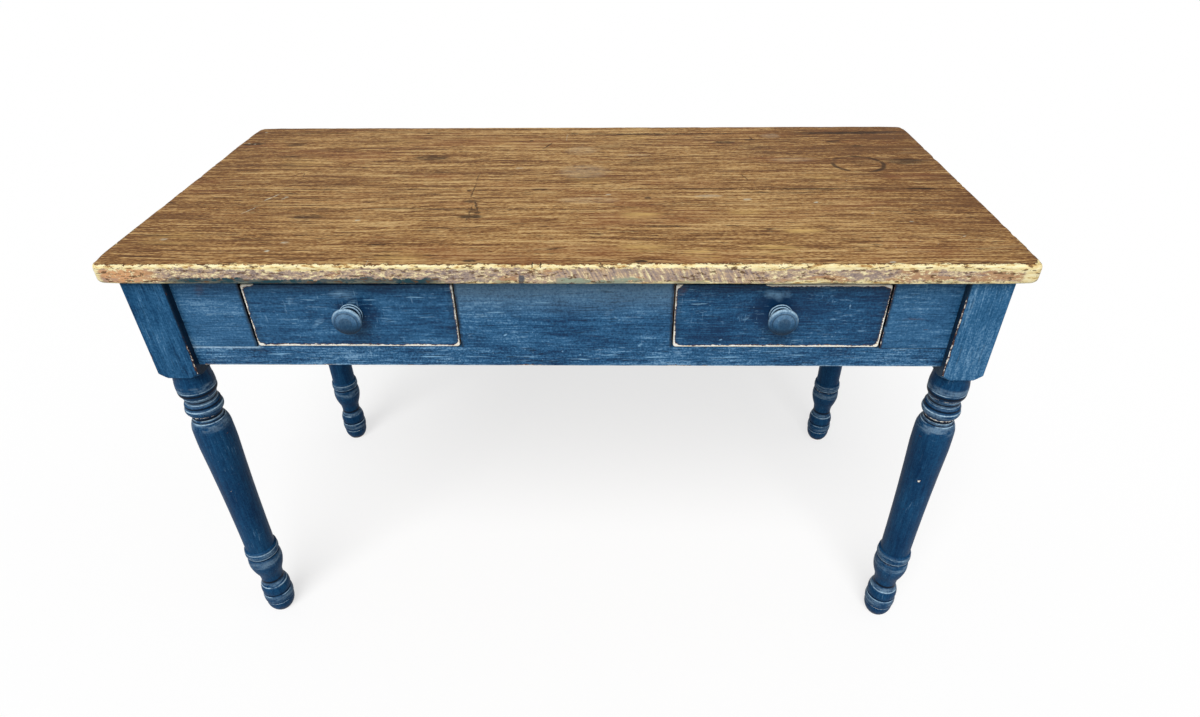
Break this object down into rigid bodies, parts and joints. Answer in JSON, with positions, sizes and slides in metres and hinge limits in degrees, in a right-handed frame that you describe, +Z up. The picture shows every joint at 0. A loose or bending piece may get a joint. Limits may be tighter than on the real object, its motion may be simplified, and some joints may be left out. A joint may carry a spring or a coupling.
{
  "type": "kitchen table with drawers",
  "caption": "Kitchen table with a scrubbed pine top, a worn navy-painted base on turned legs, and drawers with turned knobs that slide out of the front.",
  "frame": {"origin": "on the floor, at the middle of the table's footprint box, from the knobs' faces to the top's back edge", "axes": "+X along the length to the right seen from the front, +Y from the front with the drawers to the back, +Z up"},
  "size_m": [1.264, 0.592, 0.762],
  "materials": {
    "scrubbed_pine": "aged, scrubbed and waxed pine, satin",
    "navy_paint": "worn navy milk paint over pine, eggshell",
    "raw_pine": "bare, darkened pine, matt",
    "iron_nail": "dull iron"
  },
  "bodies": {
    "table": {"back_apron": "navy_paint", "back_glue_blocks": "raw_pine", "back_left_leg": "navy_paint", "back_right_leg": "navy_paint", "front_centre_panel": "navy_paint", "front_glue_block": "raw_pine", "front_left_leg": "navy_paint", "front_rail": "navy_paint", "front_right_leg": "navy_paint", "left_drawer_guide_nails": "iron_nail", "left_drawer_inner_guide": "raw_pine", "left_drawer_inner_runner": "raw_pine", "left_drawer_inner_stop": "raw_pine", "left_drawer_outer_guide": "raw_pine", "left_drawer_outer_runner": "raw_pine", "left_drawer_outer_stop": "raw_pine", "left_end_apron": "navy_paint", "left_end_glue_blocks": "raw_pine", "left_front_end_panel": "navy_paint", "left_upper_rail": "navy_paint", "right_drawer_guide_nails": "iron_nail", "right_drawer_inner_guide": "raw_pine", "right_drawer_inner_runner": "raw_pine", "right_drawer_inner_stop": "raw_pine", "right_drawer_outer_guide": "raw_pine", "right_drawer_outer_runner": "raw_pine", "right_drawer_outer_stop": "raw_pine", "right_end_apron": "navy_paint", "right_end_glue_blocks": "raw_pine", "right_front_end_panel": "navy_paint", "right_upper_rail": "navy_paint", "top_back_board": "scrubbed_pine", "top_front_board": "scrubbed_pine"},
    "left_drawer": {"left_drawer_front": "navy_paint", "left_drawer_inner_side": "raw_pine", "left_drawer_outer_side": "raw_pine", "left_drawer_back": "raw_pine", "left_drawer_bottom": "raw_pine", "left_drawer_bottom_nails": "iron_nail", "left_drawer_knob": "navy_paint"},
    "right_drawer": {"right_drawer_front": "navy_paint", "right_drawer_inner_side": "raw_pine", "right_drawer_outer_side": "raw_pine", "right_drawer_back": "raw_pine", "right_drawer_bottom": "raw_pine", "right_drawer_bottom_nails": "iron_nail", "right_drawer_knob": "navy_paint"}
  },
  "joints": [
    {"name": "left_drawer_slide", "type": "slide", "parent": "table", "child": "left_drawer", "axis": [0, -1, 0], "range_m": [0, 0.35]},
    {"name": "right_drawer_slide", "type": "slide", "parent": "table", "child": "right_drawer", "axis": [0, -1, 0], "range_m": [0, 0.35]}
  ]
}
